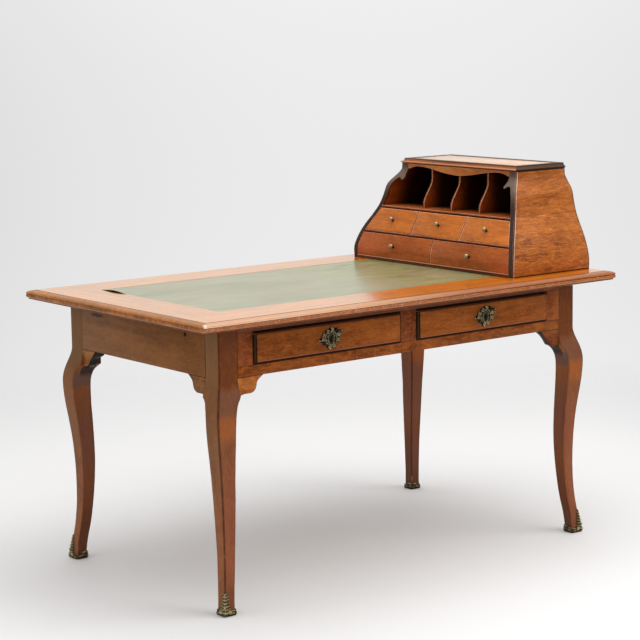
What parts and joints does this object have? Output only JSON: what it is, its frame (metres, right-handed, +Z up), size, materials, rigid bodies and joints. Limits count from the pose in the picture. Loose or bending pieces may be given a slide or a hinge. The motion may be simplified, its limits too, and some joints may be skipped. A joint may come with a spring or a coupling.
{
  "type": "writing desk",
  "caption": "Writing table with cabriole legs, brass shoes, leather top and apron drawers, with a bombe letter case of small drawers and pigeonholes on one end.",
  "frame": {"origin": "on the floor under the middle of the whole desk, which is also the middle of its top", "axes": "+X along the desk to the end that carries the letter case, +Y from the drawer front to the back, +Z up"},
  "size_m": [1.43, 0.85, 1.06],
  "materials": {
    "border_wood": "waxed, semi-gloss, worn along the edges",
    "leather": "smooth, faded and rubbed",
    "lining_wood": "unfinished, darkened by age",
    "leg_wood": "stained and waxed, semi-gloss",
    "frame_wood": "stained and waxed, semi-gloss",
    "drawer_wood": "stained and waxed, semi-gloss",
    "case_veneer": "veneer, waxed, semi-gloss",
    "case_edge_wood": "dark stained, waxed",
    "case_board_wood": "waxed, satin",
    "small_drawer_wood": "waxed, semi-gloss",
    "dark_brass": "cast, dark patina, bright on the high points",
    "knob_brass": "turned, dulled",
    "lock_steel": "dull"
  },
  "bodies": {
    "table": {"top_front_border": "border_wood", "top_back_border": "border_wood", "top_left_border": "border_wood", "top_right_border": "border_wood", "top_core": "lining_wood", "writing_leather": "leather", "leg_front_left": "leg_wood", "leg_front_right": "leg_wood", "leg_back_left": "leg_wood", "leg_back_right": "leg_wood", "sabot_front_left": "dark_brass", "sabot_front_right": "dark_brass", "sabot_back_left": "dark_brass", "sabot_back_right": "dark_brass", "apron_left": "frame_wood", "apron_right": "frame_wood", "apron_back": "frame_wood", "front_top_rail": "frame_wood", "front_bottom_rail": "frame_wood", "front_stiles": "frame_wood", "knee_brackets": "leg_wood", "drawer_runners": "lining_wood", "glue_blocks": "lining_wood", "case_side_left": "case_veneer", "case_side_right": "case_veneer", "case_back": "case_veneer", "case_bottom": "case_board_wood", "case_drawer_rail": "case_board_wood", "case_shelf": "case_board_wood", "case_partitions": "case_board_wood", "case_dividers": "case_board_wood", "case_valance": "case_edge_wood", "case_facings": "case_edge_wood", "case_cornice": "case_edge_wood", "case_top": "case_veneer"},
    "drawer_left": {"drawer_left_front": "drawer_wood", "drawer_left_box": "lining_wood", "drawer_left_bottom": "lining_wood", "drawer_left_lock": "lock_steel", "drawer_left_escutcheon": "dark_brass"},
    "drawer_right": {"drawer_right_front": "drawer_wood", "drawer_right_box": "lining_wood", "drawer_right_bottom": "lining_wood", "drawer_right_lock": "lock_steel", "drawer_right_escutcheon": "dark_brass"},
    "upper_left": {"upper_left_front": "small_drawer_wood", "upper_left_box": "lining_wood", "upper_left_knob": "knob_brass"},
    "upper_middle": {"upper_middle_front": "small_drawer_wood", "upper_middle_box": "lining_wood", "upper_middle_knob": "knob_brass"},
    "upper_right": {"upper_right_front": "small_drawer_wood", "upper_right_box": "lining_wood", "upper_right_knob": "knob_brass"},
    "lower_left": {"lower_left_front": "small_drawer_wood", "lower_left_box": "lining_wood", "lower_left_knob": "knob_brass"},
    "lower_right": {"lower_right_front": "small_drawer_wood", "lower_right_box": "lining_wood", "lower_right_knob": "knob_brass"}
  },
  "joints": [
    {"name": "drawer_left_slide", "type": "slide", "parent": "table", "child": "drawer_left", "axis": [0, -1, 0], "range_m": [0, 0.38]},
    {"name": "drawer_right_slide", "type": "slide", "parent": "table", "child": "drawer_right", "axis": [0, -1, 0], "range_m": [0, 0.38]},
    {"name": "upper_left_slide", "type": "slide", "parent": "table", "child": "upper_left", "axis": [-1, 0, 0], "range_m": [0, 0.2]},
    {"name": "upper_middle_slide", "type": "slide", "parent": "table", "child": "upper_middle", "axis": [-1, 0, 0], "range_m": [0, 0.2]},
    {"name": "upper_right_slide", "type": "slide", "parent": "table", "child": "upper_right", "axis": [-1, 0, 0], "range_m": [0, 0.2]},
    {"name": "lower_left_slide", "type": "slide", "parent": "table", "child": "lower_left", "axis": [-1, 0, 0], "range_m": [0, 0.2]},
    {"name": "lower_right_slide", "type": "slide", "parent": "table", "child": "lower_right", "axis": [-1, 0, 0], "range_m": [0, 0.2]}
  ]
}
